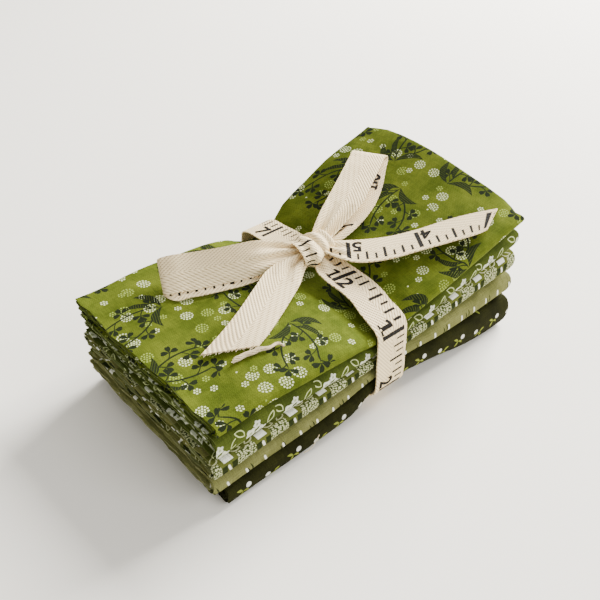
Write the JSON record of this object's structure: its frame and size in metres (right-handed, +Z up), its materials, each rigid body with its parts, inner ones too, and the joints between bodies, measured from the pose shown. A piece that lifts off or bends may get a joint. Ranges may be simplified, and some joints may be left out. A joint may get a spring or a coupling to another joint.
{
  "type": "fat quarter bundle",
  "caption": "Stack of folded quilting-cotton fat quarters in greens, cinched round the middle with a printed twill tape tied in a bow.",
  "frame": {"origin": "on the surface that the bundle rests on, at the middle of its length and depth, on the tape's underside", "axes": "+X along the folded length towards the plump folded ends, +Y towards the back edges and away from the rolled front folds, +Z up"},
  "size_m": [0.1446, 0.0815, 0.0598],
  "materials": {
    "dot_print": "matt plain-weave cotton, dark brown olive",
    "dash_print": "matt plain-weave cotton, light olive",
    "lattice_print": "matt plain-weave cotton, dark olive",
    "blossom_print": "matt plain-weave cotton, deep green",
    "leaf_print": "matt plain-weave cotton, mid green",
    "tape_tie": "matt herringbone cotton tape, natural cream"
  },
  "bodies": {
    "root": {"dot_print": "dot_print", "dash_print": "dash_print", "lattice_print": "lattice_print", "blossom_print": "blossom_print", "leaf_print": "leaf_print", "tape_tie": "tape_tie"}
  },
  "joints": []
}
